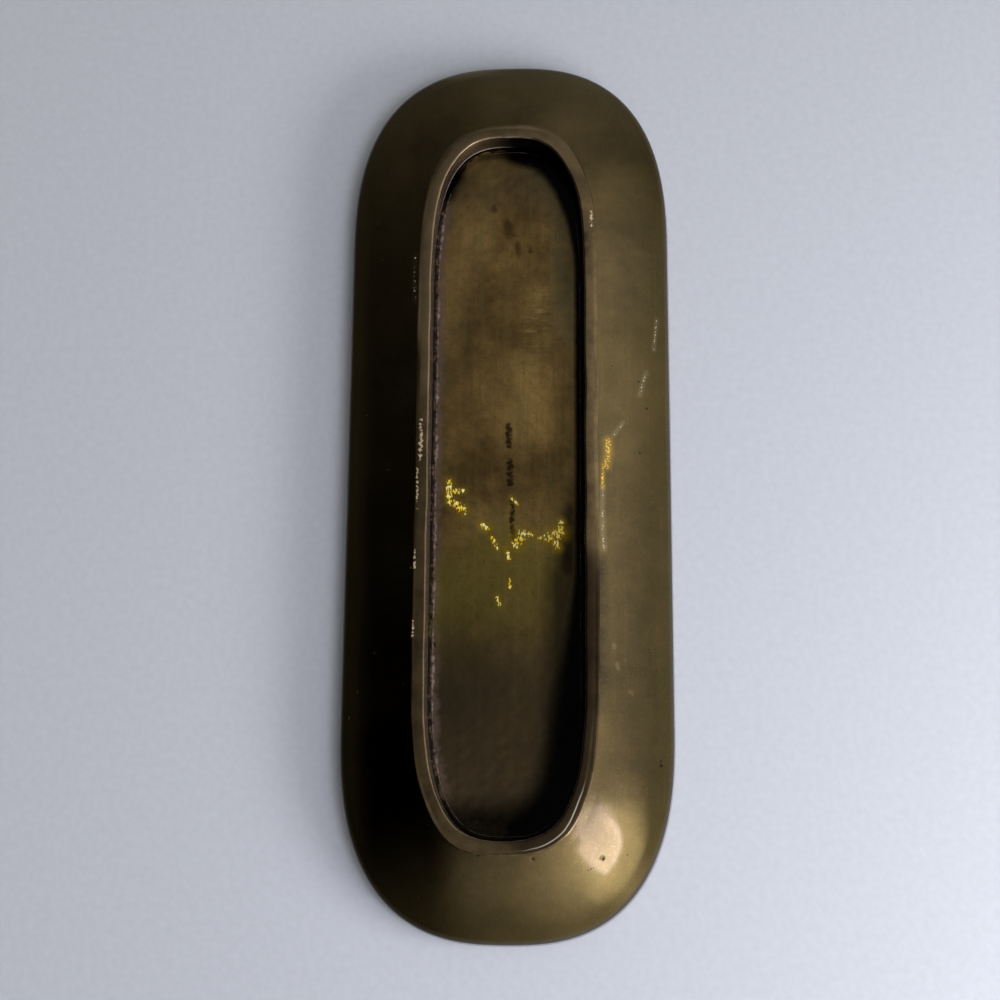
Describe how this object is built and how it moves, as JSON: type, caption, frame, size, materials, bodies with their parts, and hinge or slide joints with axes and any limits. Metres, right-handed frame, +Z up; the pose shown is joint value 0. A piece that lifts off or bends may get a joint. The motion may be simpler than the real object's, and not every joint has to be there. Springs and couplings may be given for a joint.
{
  "type": "trinket tray",
  "caption": "Long round-ended brass tray: a broad domed shoulder with a raised lip round a shallow flat-floored well for pens, keys and small things.",
  "frame": {"origin": "middle of the underside of the felt, where the tray stands on the table", "axes": "+X across the tray, +Y along its length, +Z up out of the well"},
  "size_m": [0.072, 0.199, 0.0112],
  "materials": {
    "aged_brass": "cast brass with a dark brown patina, satin, scratched and pitted",
    "worn_brass": "dark brass rubbed bright on its edges",
    "sheet_brass": "rolled sheet brass, dull and stained, with long scratches",
    "solder": "dull grey hard solder with a pale crust",
    "felt": "pressed wool felt, dark green"
  },
  "bodies": {
    "root": {"shoulder_shell": "aged_brass", "well_collar": "worn_brass", "floor_plate": "sheet_brass", "floor_solder": "solder", "collar_solder": "solder", "base_plate": "sheet_brass", "base_solder": "solder", "base_felt": "felt"}
  },
  "joints": []
}
